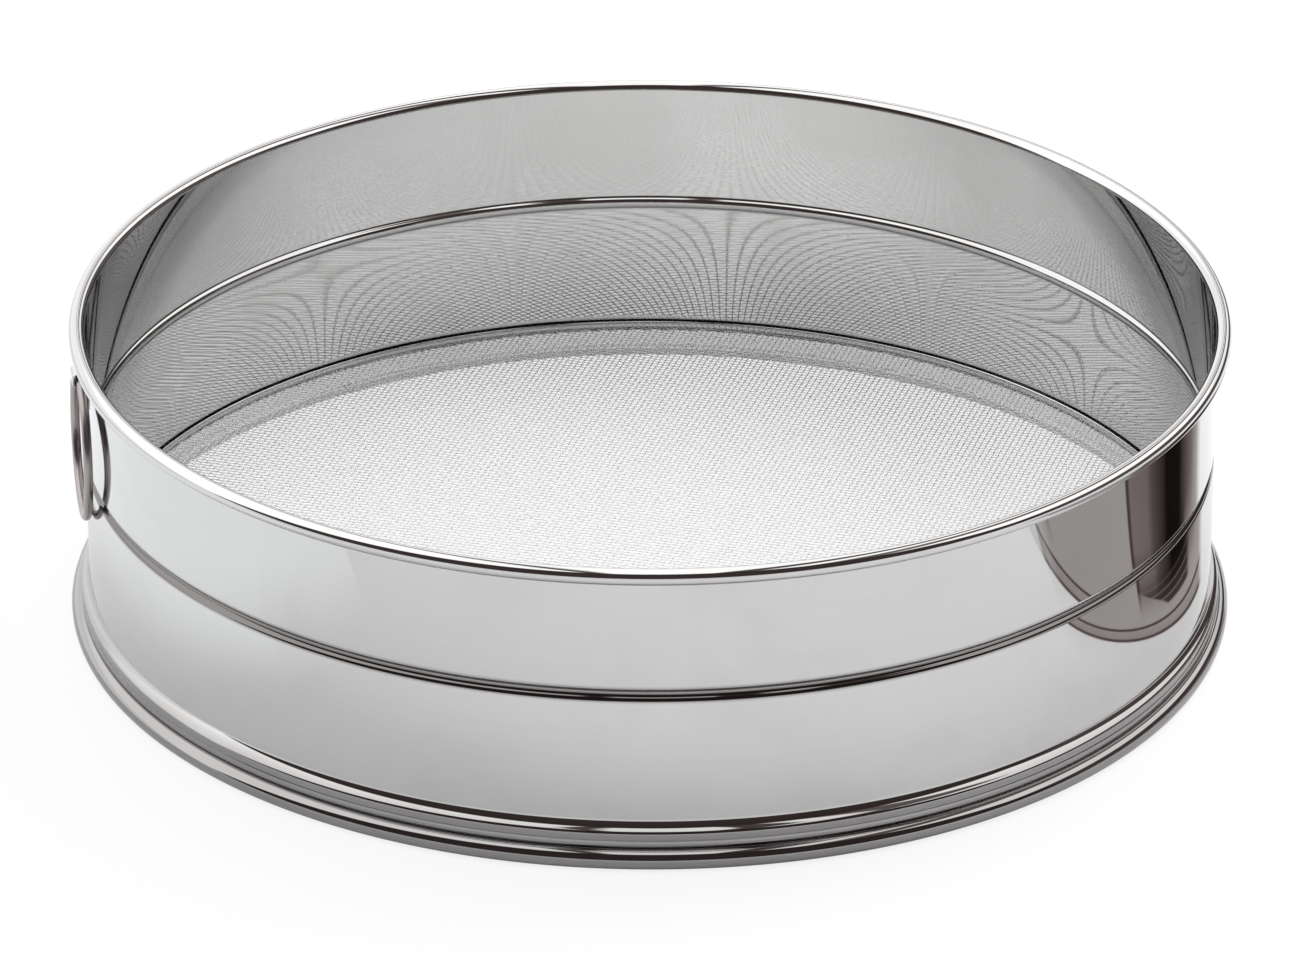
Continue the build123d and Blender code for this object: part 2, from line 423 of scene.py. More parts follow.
def painted_shade_mask(sizes):
    """Where shade is painted on the sheet: outside at the pressed seam and the rolled foot, and in the
    groove.
    """
    seam_depth, seam_fade = 0.52, 4.5 * MM
    groove_core, groove_edge = 1.4 * MM, 2.6 * MM
    lower_end, upper_start = -0.2 * MM, 0.4 * MM
    lower_depth, upper_depth, inner_share = 0.86, 0.33, 0.35
    tree = bpy.data.node_groups.new("Painted Shade", "ShaderNodeTree")
    socket(tree, "Vector", "NodeSocketVector", "INPUT")
    socket(tree, "Normal", "NodeSocketVector", "INPUT")
    for name, default in (("Seam", 9.0 * MM), ("Groove", sizes.groove_height)):
        socket(tree, name, "NodeSocketFloat", "INPUT", default)
    socket(tree, "Mask", "NodeSocketFloat", "OUTPUT")
    given = put(tree, "NodeGroupInput").outputs
    height = put(tree, "ShaderNodeSeparateXYZ", {0: given["Vector"]}).outputs["Z"]
    flat = put(tree, "ShaderNodeVectorMath", {0: given["Vector"], 1: (1.0, 1.0, 0.0)},
               operation="MULTIPLY").outputs[0]
    out = put(tree, "ShaderNodeVectorMath", {0: flat, 1: given["Normal"]},
              operation="DOT_PRODUCT").outputs["Value"]
    outside = calc(tree, "GREATER_THAN", out, 0.0)
    # Painted shade: full below the seam height and fading above it, outside only; in the groove, deeper on
    # its lower half and fainter inside.
    seam = remap(tree, calc(tree, "SUBTRACT", height, given["Seam"]), 0.0, seam_fade, seam_depth, 0.0)
    rise = calc(tree, "SUBTRACT", height, given["Groove"])
    within = remap(tree, calc(tree, "ABSOLUTE", rise), groove_core, groove_edge, 1.0, 0.0)
    halves = remap(tree, rise, lower_end, upper_start, lower_depth, upper_depth)
    groove = product(tree, within, halves, remap(tree, outside, 0.0, 1.0, inner_share, 1.0))
    mask = calc(tree, "MAXIMUM", product(tree, seam, outside), groove)
    put(tree, "NodeGroupOutput", {"Mask": mask})
    return tree


def metal(name, colour, polish, spread, line_scale, stretch, source="Object",
          line_depth=0.004 * MM, wave_depth=0.05 * MM, metallic=1.0, stain=None, painted_shade_colour=None):
    """A steel material whose polish marks follow the object's axes or the piece's own UV map."""
    material, tree = new_material(name)
    given = put(tree, "ShaderNodeTexCoord").outputs
    group = bpy.data.node_groups.get("Polish Marks") or polish_marks()
    marks = put(tree, "ShaderNodeGroup",
                {"Vector": given[source], "Line Scale": line_scale, "Line Stretch": stretch,
                 "Roughness": polish, "Spread": spread}, node_tree=group)
    shade = (*colour, 1.0)
    if stain:
        shade = mixed_colour(tree, marks.outputs["Marks"], shade, (*stain, 1.0))
    # Painted shade: the dark colour mixed in by the mask at the seam, the foot and the groove.
    if painted_shade_colour:
        group = bpy.data.node_groups.get("Painted Shade") or painted_shade_mask(bpy.context.scene.sieve_sizes)
        painted_dark = put(tree, "ShaderNodeGroup", {"Vector": given[source], "Normal": given["Normal"]},
                   node_tree=group)
        shade = mixed_colour(tree, painted_dark.outputs["Mask"], shade, (*painted_shade_colour, 1.0))
    waves = put(tree, "ShaderNodeBump",
                {"Strength": 1.0, "Distance": wave_depth, "Height": marks.outputs["Waves"]})
    lines = put(tree, "ShaderNodeBump",
                {"Strength": 1.0, "Distance": line_depth, "Height": marks.outputs["Lines"],
                 "Normal": waves.outputs["Normal"]})
    shader = put(tree, "ShaderNodeBsdfPrincipled",
                 {"Base Color": shade, "Metallic": metallic,
                  "Roughness": marks.outputs["Roughness"], "Normal": lines.outputs["Normal"]})
    put(tree, "ShaderNodeOutputMaterial", {"Surface": shader.outputs["BSDF"]})
    return material


def polished_sheet(finish):
    """Polished steel sheet, with faint lines that run round the drum, and painted shade at the seam, the
    foot and the groove.
    """
    # The sheet carries painted shade at the seam, the foot and the groove.
    return bpy.data.materials.get("Polished Sheet") or metal(
        "Polished Sheet", finish.sheet_colour, polish=finish.polish, spread=0.024,
        line_scale=9.0, stretch=(1.0, 1.0, 260.0), line_depth=0.0006 * MM,
        stain=finish.sheet_stain, painted_shade_colour=finish.sheet_painted_shade)


def cloth_wire(finish):
    """Plain drawn wire of the cloth."""
    return bpy.data.materials.get("Cloth Wire") or metal(
        "Cloth Wire", finish.cloth_colour, polish=0.28, spread=0.10,
        line_scale=60.0, stretch=(1.0, 1.0, 1.0), line_depth=0.002 * MM, wave_depth=0.0, metallic=0.4)


def ring_steel(finish):
    """Bright drawn wire of the hanging ring."""
    return bpy.data.materials.get("Ring Wire") or metal(
        "Ring Wire", finish.ring_colour, polish=0.27, spread=0.08,
        line_scale=40.0, stretch=(1.0, 30.0, 1.0), source="UV", wave_depth=0.02 * MM)


# Wire cloth.


def weave_tree():
    """Parallel wires of plain weave, cut to a round edge, for one half of the drum."""
    tree = bpy.data.node_groups.new("Woven Wires", "GeometryNodeTree")
    socket(tree, "Geometry", "NodeSocketGeometry", "INPUT")
    for name in ("Pitch", "Wire", "Rise", "Reach", "Height", "Turn", "Side", "Waver"):
        socket(tree, name, "NodeSocketFloat", "INPUT")
    for name in ("Lines", "Sides", "Seed"):
        socket(tree, name, "NodeSocketInt", "INPUT")
    socket(tree, "Material", "NodeSocketMaterial", "INPUT")
    socket(tree, "Geometry", "NodeSocketGeometry", "OUTPUT")
    given = put(tree, "NodeGroupInput").outputs
    pitch, reach = given["Pitch"], given["Reach"]

    span = calc(tree, "MULTIPLY", pitch, calc(tree, "SUBTRACT", given["Lines"], 1.0))
    grid = put(tree, "GeometryNodeMeshGrid",
               {"Size X": span, "Size Y": span, "Vertices X": given["Lines"], "Vertices Y": given["Lines"]})
    spot = put(tree, "ShaderNodeSeparateXYZ", {0: put(tree, "GeometryNodeInputPosition").outputs[0]})
    x, y = spot.outputs["X"], spot.outputs["Y"]

    # The wires run along Y, and end on the circle.
    left = calc(tree, "SUBTRACT", product(tree, reach, reach), product(tree, x, x))
    end = calc(tree, "SQRT", calc(tree, "MAXIMUM", left, 0.0))
    beyond = calc(tree, "GREATER_THAN", calc(tree, "ABSOLUTE", y), calc(tree, "ADD", end, pitch))
    outside = calc(tree, "LESS_THAN", left, product(tree, pitch, pitch))
    sided = product(tree, x, given["Side"])
    shift = product(tree, given["Side"], pitch, 0.25)
    other = calc(tree, "LESS_THAN", sided, calc(tree, "SUBTRACT", 0.0, shift))
    drop = calc(tree, "MAXIMUM", calc(tree, "MAXIMUM", beyond, outside), other)
    ends = put(tree, "GeometryNodeInputMeshEdgeVertices").outputs
    gap = put(tree, "ShaderNodeVectorMath", {0: ends["Position 1"], 1: ends["Position 2"]},
              operation="SUBTRACT").outputs[0]
    across = calc(tree, "ABSOLUTE", put(tree, "ShaderNodeSeparateXYZ", {0: gap}).outputs["X"])
    crossing = calc(tree, "GREATER_THAN", across, product(tree, pitch, 0.5))
    lines = put(tree, "GeometryNodeDeleteGeometry",
                {"Geometry": grid.outputs["Mesh"], "Selection": crossing},
                domain="EDGE", mode="EDGE_FACE")
    kept = put(tree, "GeometryNodeDeleteGeometry", {"Geometry": lines.outputs[0], "Selection": drop},
               domain="POINT", mode="ALL")

    # Over and under at every crossing, with a slow wander in the plane.
    steps = calc(tree, "ADD", calc(tree, "DIVIDE", x, pitch), calc(tree, "DIVIDE", y, pitch))
    count = calc(tree, "ROUND", calc(tree, "ADD", steps, given["Lines"]))
    odd = calc(tree, "FLOORED_MODULO", count, 2.0)
    seed_step, wander_scale, wander_gain = 3.7, 18.0, 4.0
    rise = product(tree, given["Rise"], calc(tree, "MULTIPLY_ADD", odd, 2.0, -1.0))
    wander = put(tree, "ShaderNodeTexNoise",
                 {"Vector": put(tree, "GeometryNodeInputPosition").outputs[0],
                  "W": product(tree, given["Seed"], seed_step), "Scale": wander_scale, "Detail": 2.0},
                 noise_dimensions="4D")
    stray = product(tree, calc(tree, "SUBTRACT", wander.outputs["Fac"], 0.5),
                    product(tree, given["Waver"], wander_gain))
    held = calc(tree, "MAXIMUM", calc(tree, "MINIMUM", y, end), calc(tree, "SUBTRACT", 0.0, end))
    target = put(tree, "ShaderNodeCombineXYZ", {"X": calc(tree, "ADD", x, stray), "Y": held, "Z": rise})
    moved = put(tree, "GeometryNodeSetPosition",
                {"Geometry": kept.outputs[0], "Position": target.outputs[0]})

    line = put(tree, "GeometryNodeMeshToCurve", {"Mesh": moved.outputs[0]})
    around = put(tree, "GeometryNodeCurvePrimitiveCircle",
                 {"Resolution": given["Sides"], "Radius": product(tree, given["Wire"], 0.5)})
    tube = put(tree, "GeometryNodeCurveToMesh",
               {"Curve": line.outputs[0], "Profile Curve": around.outputs[0], "Fill Caps": True})
    smooth = put(tree, "GeometryNodeSetShadeSmooth", {"Geometry": tube.outputs[0]})
    lift = put(tree, "ShaderNodeCombineXYZ", {"Z": given["Height"]})
    angle = put(tree, "ShaderNodeCombineXYZ", {"Z": given["Turn"]})
    placed = put(tree, "GeometryNodeTransform",
                 {"Geometry": smooth.outputs[0], "Translation": lift.outputs[0],
                  "Rotation": angle.outputs[0]})
    real = put(tree, "GeometryNodeRealizeInstances", {"Geometry": placed.outputs[0]})
    dressed = put(tree, "GeometryNodeSetMaterial",
                  {"Geometry": real.outputs[0], "Material": given["Material"]})
    put(tree, "NodeGroupOutput", {"Geometry": dressed.outputs[0]})
    return tree


def grown(name, tree, values):
    """A plain mesh object made by a Geometry Nodes tree with these inputs."""
    carrier = bpy.data.objects.new(name + "_carrier", bpy.data.meshes.new(name + "_carrier"))
    bpy.context.scene.collection.objects.link(carrier)
    modifier = carrier.modifiers.new("Nodes", "NODES")
    modifier.node_group = tree
    for item in tree.interface.items_tree:
        if item.item_type == "SOCKET" and item.in_out == "INPUT" and item.name in values:
            modifier[item.identifier] = values[item.name]
    graph = bpy.context.evaluated_depsgraph_get()
    mesh = bpy.data.meshes.new_from_object(carrier.evaluated_get(graph), depsgraph=graph)
    mesh.name = name
    carrier.modifiers.remove(modifier)
    bpy.data.objects.remove(carrier)
    piece = bpy.data.objects.new(name, mesh)
    bpy.context.scene.collection.objects.link(piece)
    return piece


# Operators, one for each piece or group of like pieces.


class SIEVE_OT_drum_wall(bpy.types.Operator):
    """Make the drum wall with its skirt, groove and rolled rim"""

    bl_idname = "sieve.drum_wall"
    bl_label = "Drum Wall"

    def execute(self, context):
        sizes = context.scene.sieve_sizes
        plan = Layout(sizes)
        crimp, crimp_turn = 0.5 * MM, 50.0
        low = plan.skirt_low + (crimp + sizes.sheet / 2) * math.sin(math.radians(crimp_turn))
        line = arc((plan.skirt - crimp, low), crimp, -crimp_turn, crimp_turn, 10.0)

        crease_z, crease_rise, half_depth, steps = 7.3 * MM, 0.17 * MM, 0.065 * MM, 4
        for i in range(-steps, steps + 1):
            pressed = half_depth * (1 + math.cos(math.pi * i / steps))
            line.append((plan.skirt - pressed, crease_z + crease_rise * i))

        turn = plan.shoulder_turn
        line += arc((plan.skirt - plan.shoulder_bend, plan.lip_low), plan.shoulder_bend, 0, turn, 8.0)
        line += arc((plan.wall + COVE_BEND, plan.cove_z), COVE_BEND, 180 + turn, -turn, 8.0)[1:]

        lean, half_width = plan.groove_turn, sizes.groove_width / 2
        lip_r = plan.wall - GROOVE_LIP_BEND
        floor = (plan.wall - sizes.groove_depth + plan.groove_floor, sizes.groove_height)
        line += arc((lip_r, sizes.groove_height - half_width), GROOVE_LIP_BEND, 0, lean, 8.0)
        line += arc(floor, plan.groove_floor, 180 + lean, -2 * lean, 8.0)[1:]
        line += arc((lip_r, sizes.groove_height + half_width), GROOVE_LIP_BEND, -lean, lean, 8.0)[1:]
        line += arc(plan.rim, plan.rim_bend, 180, -315, 9.0)
        wall = lathe("drum_wall_sheet", sheet_section(line, sizes.sheet))
        dress(wall, polished_sheet(context.scene.sieve_finish), "sieve")
        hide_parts("drum_wall")
        return {"FINISHED"}


class SIEVE_OT_foot_ring(bpy.types.Operator):
    """Make the foot ring with its neck and rolled foot"""

    bl_idname = "sieve.foot_ring"
    bl_label = "Foot Ring"

    def execute(self, context):
        sizes = context.scene.sieve_sizes
        plan = Layout(sizes)
        lean, above_knee = 20.0, 0.3 * MM
        start = plan.foot[0] - plan.foot_bend * math.cos(math.radians(lean))
        drop = (plan.neck - start) / math.tan(math.radians(lean))
        knee = plan.foot[1] + plan.foot_bend * math.sin(math.radians(lean)) + drop
        line = [(plan.neck, sizes.neck_height - sizes.sheet / 2), (plan.neck, knee + above_knee)]
        line += arc(plan.foot, plan.foot_bend, 180 - lean, 315 + lean, 9.0)
        foot = lathe("foot_ring_sheet", sheet_section(line, sizes.sheet))
        dress(foot, polished_sheet(context.scene.sieve_finish), "sieve")
        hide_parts("foot_ring")
        return {"FINISHED"}


class SIEVE_OT_retaining_hoop(bpy.types.Operator):
    """Make the angle hoop that presses the cloth on to the neck"""

    bl_idname = "sieve.retaining_hoop"
    bl_label = "Retaining Hoop"

    def execute(self, context):
        sizes = context.scene.sieve_sizes
        plan = Layout(sizes)
        half, leg_low, bend, upturn = sizes.hoop_sheet / 2, 6.6 * MM, 0.5 * MM, 1.4 * MM
        edge_r, lip_z = plan.lip_inner + half, plan.lip_low + half
        line = [(plan.hoop_leg, leg_low)]
        line += arc((plan.hoop_inner, plan.lip_low), half, 0, 90, 18.0)
        line += arc((edge_r + bend, lip_z + bend), bend, 270, -90, 18.0)
        line.append((edge_r, lip_z + upturn))
        hoop = lathe("retaining_hoop_sheet", sheet_section(line, sizes.hoop_sheet))
        dress(hoop, polished_sheet(context.scene.sieve_finish), "sieve")
        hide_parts("retaining_hoop")
        return {"FINISHED"}


class SIEVE_OT_wire_cloth(bpy.types.Operator):
    """Weave the wire cloth and turn its hem down over the neck"""

    bl_idname = "sieve.wire_cloth"
    bl_label = "Wire Cloth"

    def execute(self, context):
        cloth, sizes = context.scene.sieve_cloth, context.scene.sieve_sizes
        plan = Layout(sizes)
        material = cloth_wire(context.scene.sieve_finish)
        tree = bpy.data.node_groups.get("Woven Wires") or weave_tree()
        overlap, hem_sheet, hem_bend, hem_drop = 0.1 * MM, 0.4 * MM, 0.5 * MM, 1.0 * MM
        reach = plan.hem + overlap
        half_lines = math.ceil(reach / cloth.pitch)
        rise = cloth.wire / 2
        ways = (("warp", 0.0, rise, cloth.seed), ("weft", math.pi / 2, -rise, cloth.seed + 11))
        pieces = []
        for way, turn, first_rise, seed in ways:
            for side, sign in (("front", -1.0), ("back", 1.0)):
                pieces.append(grown("cloth_%s_%s" % (way, side), tree, {
                    "Pitch": cloth.pitch, "Wire": cloth.wire, "Reach": reach, "Rise": first_rise,
                    "Height": plan.cloth_z, "Turn": cloth.turn + turn, "Side": sign,
                    "Waver": cloth.waver, "Lines": 2 * half_lines + 1, "Sides": cloth.sides,
                    "Seed": seed, "Material": material}))
        hem_line = [(plan.hem, sizes.neck_height - hem_drop)]
        hem_line += arc((plan.hem - hem_bend, plan.cloth_z - hem_bend), hem_bend, 0, 80, 16.0)
        pieces.append(lathe("cloth_hem", sheet_section(hem_line, hem_sheet), HEM_AROUND))
        for piece in pieces:
            if not piece.data.polygons:
                raise RuntimeError("no wires were made for " + piece.name)
            dress(piece, material, "sieve")
            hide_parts("mesh")
        return {"FINISHED"}


class SIEVE_OT_hanging_ring(bpy.types.Operator):
    """Bend the hanging ring from round wire"""

    bl_idname = "sieve.hanging_ring"
    bl_label = "Hanging Ring"

    def execute(self, context):
        sizes = context.scene.sieve_sizes
        plan = Layout(sizes)
        wire = arc((plan.ring_radius, 0.0), sizes.ring_wire / 2, 0, 360, 15.0)[:-1]
        ring = lathe("hanging_ring_wire", wire, RING_AROUND)
        upright = Matrix.Rotation(math.pi / 2, 4, "Y")
        ring.data.transform(Matrix.Translation((plan.ring_x, 0, plan.ring_z)) @ upright)
        dress(ring, ring_steel(context.scene.sieve_finish), "ring")
        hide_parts("hanging_ring")
        return {"FINISHED"}


class SIEVE_OT_hanger_strap(bpy.types.Operator):
    """Bend the strap that holds the hanging ring, with its two spot welds"""

    bl_idname = "sieve.hanger_strap"
    bl_label = "Hanger Strap"

    def execute(self, context):
        sizes = context.scene.sieve_sizes
        strap = bent_strap("hanger_strap_sheet", Layout(sizes), sizes)
        dress(strap, polished_sheet(context.scene.sieve_finish), "sieve")
        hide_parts("hanger_strap")
        return {"FINISHED"}


def bent_strap(name, plan, sizes):
    """A strip bent into a square loop, with a flat tail and stub, round corners and weld dimples."""
    half_sheet, half_width = STRAP_SHEET / 2, sizes.strap_width / 2
    clearance, tail_length, stub_length = 0.15 * MM, 7.0 * MM, 0.5 * MM
    small, large = 0.6 * MM, 1.2 * MM
    edge, corner = 0.12 * MM, 1.5 * MM
    weld_side, weld_rise, weld_radius, weld_depth = 2.2 * MM, 3.4 * MM, 0.75 * MM, 0.12 * MM

    # The strip's line up the wall and out round the ring.
    flat_r = plan.wall + sizes.sheet / 2 + SEAT_GAP + half_sheet
    sag = plan.ring_radius * (1 - math.cos(math.asin(half_width / plan.ring_radius)))
    half_loop = sizes.ring_wire / 2 + sag + clearance + half_sheet
    loop_r = -plan.ring_x + half_loop
    low, high = plan.hinge_z - half_loop, plan.hinge_z + half_loop
    tail, stub = low - tail_length, high + half_sheet + stub_length
    count = 16
    line = [(flat_r, tail + (low - small - tail) * (i / count) ** 1.5) for i in range(count)]
    line += arc((flat_r + small, low - small), small, 180, -90, 15.0)
    line += arc((loop_r - large, low + large), large, -90, 90, 12.0)
    line += arc((loop_r - large, high - large), large, 0, 90, 12.0)
    line += arc((flat_r + small, high + small), small, 270, -90, 15.0)
    line.append((flat_r, stub))
    points = [Vector(p) for p in line]

    # Rows of points round the strip, over its outer face and back under it.
    bm = bmesh.new()
    rows = []
    spots = [i / 10 for i in range(-10, 11)]
    across = [(s, 1.0) for s in spots] + [(s, -1.0) for s in spots[::-1]]
    for point, way in zip(points, directions(points)):
        normal = Vector((way.y, -way.x))
        rise = point.y - tail
        reach = half_width
        if rise < corner:
            reach = half_width - corner + math.sqrt(max(corner ** 2 - (corner - rise) ** 2, 0.0))
        row = []
        for s, face in across:
            width = s * reach
            depth = half_sheet - (edge if abs(s) == 1.0 else 0.0)
            if face > 0 and point.y < low - small:
                for weld in (-weld_side, weld_side):
                    away = math.hypot(width - weld, rise - weld_rise)
                    depth -= weld_depth * math.exp(-(away / weld_radius) ** 4)
            r = point + normal * depth * face
            row.append(bm.verts.new((-r.x, width, r.y)))
        rows.append(row)
    size = len(across)
    for a, b in zip(rows, rows[1:]):
        for j in range(size):
            k = (j + 1) % size
            bm.faces.new((a[j], a[k], b[k], b[j]))
    bm.faces.new(rows[0])
    bm.faces.new(rows[-1][::-1])
    bmesh.ops.remove_doubles(bm, verts=bm.verts, dist=0.001 * MM)
    bmesh.ops.recalc_face_normals(bm, faces=bm.faces)
    return finished(name, bm, sharp=40.0)


# Studio. Cards and panels are placed to the right, away from and above the middle, as the
# camera at the photograph's angle sees them.


def aligned(x, y, z, azimuth):
    """The point that is so far to the right, away from and above the middle."""
    c, s = math.cos(azimuth), math.sin(azimuth)
    return Vector((x * c - y * s, x * s + y * c, z))


def aligned_parts(tree, way, azimuth):
    """A place or direction split into its parts to the right, away and up."""
    turned = put(tree, "ShaderNodeVectorRotate", {"Vector": way, "Angle": -azimuth},
                 rotation_type="Z_AXIS").outputs[0]
    return put(tree, "ShaderNodeSeparateXYZ", {0: turned}).outputs


def end_with_mix(tree, factor, first, second):
    """Ends a material with a mix of two shaders."""
    both = put(tree, "ShaderNodeMixShader", {0: factor, 1: first.outputs[0], 2: second.outputs[0]})
    put(tree, "ShaderNodeOutputMaterial", {"Surface": both.outputs[0]})


def floor_material(studio):
    """A pale floor that shows nearly white to the camera and keeps its soft shadow.

    The metal mirrors it brighter under the cloth, inside the foot, than around the sieve.
    """
    under_edge, open_edge, under_glow, white_strength = 0.125, 0.140, 0.75, 1.06
    material, tree = new_material("Pale Floor")
    path = put(tree, "ShaderNodeLightPath").outputs
    mirrored = calc(tree, "MAXIMUM", path["Is Glossy Ray"], path["Is Transmission Ray"])
    glow = product(tree, path["Is Camera Ray"], studio.floor_glow)
    place = put(tree, "ShaderNodeTexCoord").outputs["Object"]
    out = put(tree, "ShaderNodeVectorMath", {0: place}, operation="LENGTH").outputs["Value"]
    under = remap(tree, out, under_edge, open_edge, under_glow, studio.floor_mirror_glow)
    glow = calc(tree, "MULTIPLY_ADD", mirrored, under, glow)
    plain = put(tree, "ShaderNodeBsdfDiffuse", {"Color": (*studio.floor_colour, 1.0)})
    white = put(tree, "ShaderNodeEmission", {"Color": WHITE, "Strength": white_strength})
    end_with_mix(tree, calc(tree, "SUBTRACT", 1.0, glow), white, plain)
    return material


def warmed(tree, level):
    """A grey level that turns brown as it darkens."""
    brown, neutral_from = (1.0, 0.74, 0.72, 1.0), 0.6
    depth = remap(tree, level, 0.0, neutral_from, 0.0, 1.0, smooth=False)
    tone = mixed_colour(tree, depth, brown, WHITE)
    scaled = put(tree, "ShaderNodeVectorMath", {0: tone, "Scale": level}, operation="SCALE")
    return scaled.outputs[0]


def stepped(tree, value, low, high, bands):
    """A grey level and a cover read from bands of (place, level, cover) along a value."""
    place = remap(tree, value, low, high, 0.0, 1.0, smooth=False)
    ramp = put(tree, "ShaderNodeValToRGB", {"Fac": place})
    stops = ramp.color_ramp.elements
    while len(stops) < len(bands):
        stops.new(0.5)
    for stop, (at, level, cover) in zip(stops, bands):
        stop.position = (at - low) / (high - low)
        stop.color = (level, level, level, cover)
    return ramp.outputs["Color"], ramp.outputs["Alpha"]


def dim_card_material(studio):
    """Dim things to the right of the sieve, seen only in the metal.

    Bands fan out from a point at the sieve's edge, in degrees. Other bands follow the card's
    bowed near edge, in millimetres from the sieve's axis. The far end fades away.
    """
    fan_x, fan_y, bow_y, bow_rate, fade_start, fade_end = 0.124, -0.058, 0.002, 3.9, 0.32, 0.44
    material, tree = new_material("Dim Surround")
    place = put(tree, "ShaderNodeTexCoord").outputs["Object"]
    spot = aligned_parts(tree, place, studio.azimuth)
    fan = calc(tree, "DEGREES", calc(tree, "ARCTAN2", calc(tree, "SUBTRACT", spot["Y"], fan_y),
                                     calc(tree, "SUBTRACT", spot["X"], fan_x)))
    bow = calc(tree, "SUBTRACT", spot["Y"], bow_y)
    near = calc(tree, "SUBTRACT", spot["X"], product(tree, bow, bow, bow_rate))
    near = calc(tree, "DIVIDE", near, MM)
    across, cover = stepped(tree, fan, -60.0, 70.0, (
        (-50.0, 0.6, 0.0), (-31.5, 0.55, 0.30), (-31.0, 0.32, 0.8), (-30.2, 0.32, 0.9), (-29.6, 0.5, 0.8),
        (-27.0, 0.5, 1.0), (-26.5, 0.11, 1.0), (-25.8, 0.11, 1.0), (-25.2, 0.47, 1.0), (13.0, 0.47, 1.0),
        (13.5, 0.08, 1.0), (14.5, 0.08, 1.0), (15.5, 0.25, 1.0), (25.0, 0.22, 1.0), (28.0, 0.12, 1.0),
        (34.0, 0.05, 1.0), (37.0, 0.010, 1.0), (45.0, 0.012, 1.0), (48.5, 0.10, 1.0), (53.0, 0.22, 1.0),
        (57.0, 0.5, 1.0), (60.0, 0.9, 0.0)))
    inward, edge_cover = stepped(tree, near, 130.0, 200.0, (
        (144.0, 0.8, 0.0), (161.0, 0.7, 0.25), (162.0, 0.11, 1.0), (163.2, 0.11, 1.0), (164.0, 0.38, 1.0),
        (168.6, 0.42, 1.0), (169.2, 0.10, 1.0), (170.2, 0.10, 1.0), (171.0, 0.45, 1.0), (174.0, 0.45, 1.0)))
    arcs, _ = stepped(tree, near, 165.0, 200.0, (
        (176.0, 0.45, 1.0), (177.5, 0.07, 1.0), (180.5, 0.07, 1.0), (181.3, 0.26, 1.0), (182.2, 0.05, 1.0),
        (185.5, 0.05, 1.0), (186.5, 0.22, 1.0), (187.6, 0.03, 1.0), (191.0, 0.03, 1.0), (192.0, 0.14, 1.0),
        (193.2, 0.02, 1.0), (200.0, 0.0, 1.0)))
    past = remap(tree, near, 171.0, 172.0, 0.0, 1.0)
    rounded = calc(tree, "SUBTRACT", fan, remap(tree, near, 174.0, 196.0, 20.0, 0.0))
    deep = product(tree, remap(tree, rounded, 12.6, 15.0, 0.0, 1.0),
                   remap(tree, fan, 47.0, 50.0, 1.0, 0.0))
    banded = mixed(tree, remap(tree, near, 178.0, 205.0, 1.0, 0.0), across, arcs)
    plain = mixed(tree, remap(tree, near, 172.0, 200.0, 1.0, 0.0), across, 0.47)
    level = mixed(tree, past, inward, mixed(tree, deep, plain, banded))
    fade = remap(tree, spot["X"], fade_start, fade_end, 1.0, 0.0)
    clear = put(tree, "ShaderNodeBsdfTransparent")
    tone = put(tree, "ShaderNodeEmission", {"Color": warmed(tree, level), "Strength": 1.0})
    end_with_mix(tree, product(tree, cover, edge_cover, fade), clear, tone)
    return material


def pale_card_material(studio):
    """A pale sheet to the left of the sieve, seen only in the metal."""
    fade_start, fade_end, strength = -0.150, -0.215, 1.17
    material, tree = new_material("Pale Surround")
    place = put(tree, "ShaderNodeTexCoord").outputs["Object"]
    spot = aligned_parts(tree, place, studio.azimuth)
    clear = put(tree, "ShaderNodeBsdfTransparent")
    tone = put(tree, "ShaderNodeEmission", {"Color": (0.97, 0.99, 1.0, 1.0), "Strength": strength})
    end_with_mix(tree, remap(tree, spot["X"], fade_start, fade_end, 0.0, 1.0), clear, tone)
    return material


def studio_world(studio):
    """Light panels overhead, a dim side towards the camera and a pale surround, white to the camera."""
    ceiling_level, horizon_level = 0.06, 0.85
    world = bpy.data.worlds.new("Studio")
    world.use_nodes = True
    tree = world.node_tree
    tree.nodes.clear()
    way = put(tree, "ShaderNodeTexCoord").outputs["Generated"]
    parts = aligned_parts(tree, way, studio.azimuth)
    up = calc(tree, "MAXIMUM", parts["Z"], 0.001)
    right = calc(tree, "DIVIDE", parts["X"], up)
    away = calc(tree, "DIVIDE", parts["Y"], up)

    # Bright panels with dark gaps, by the slope to the right, between a near and a far end.
    panels, _ = stepped(tree, right, -2.5, 2.5, (
        (-2.5, 1.0, 1.0), (-0.180, 1.0, 1.0), (-0.163, 0.05, 1.0), (-0.105, 0.05, 1.0), (-0.09, 1.0, 1.0),
        (0.160, 1.0, 1.0), (0.175, 0.05, 1.0), (0.285, 0.05, 1.0), (0.300, 1.0, 1.0), (0.425, 1.0, 1.0),
        (0.440, 0.10, 1.0), (0.72, 0.10, 1.0), (0.74, 1.0, 1.0), (1.85, 1.0, 1.0), (2.05, 0.04, 1.0)))
    near = remap(tree, away, -0.55, -0.40, 0.0, 1.0)
    far = remap(tree, away, 1.6, 2.1, 1.0, 0.8)
    lit = calc(tree, "MULTIPLY_ADD", product(tree, near, far, panels), studio.panel_light, ceiling_level)
    low = remap(tree, parts["Z"], -0.02, 0.06, horizon_level, 0.0)
    level = calc(tree, "MAXIMUM", lit, low)
    seen = put(tree, "ShaderNodeLightPath").outputs["Is Camera Ray"]
    shown = mixed_colour(tree, seen, warmed(tree, level), WHITE)
    back = put(tree, "ShaderNodeBackground", {"Color": shown, "Strength": 1.0})
    put(tree, "ShaderNodeOutputWorld", {"Surface": back.outputs[0]})
    return world


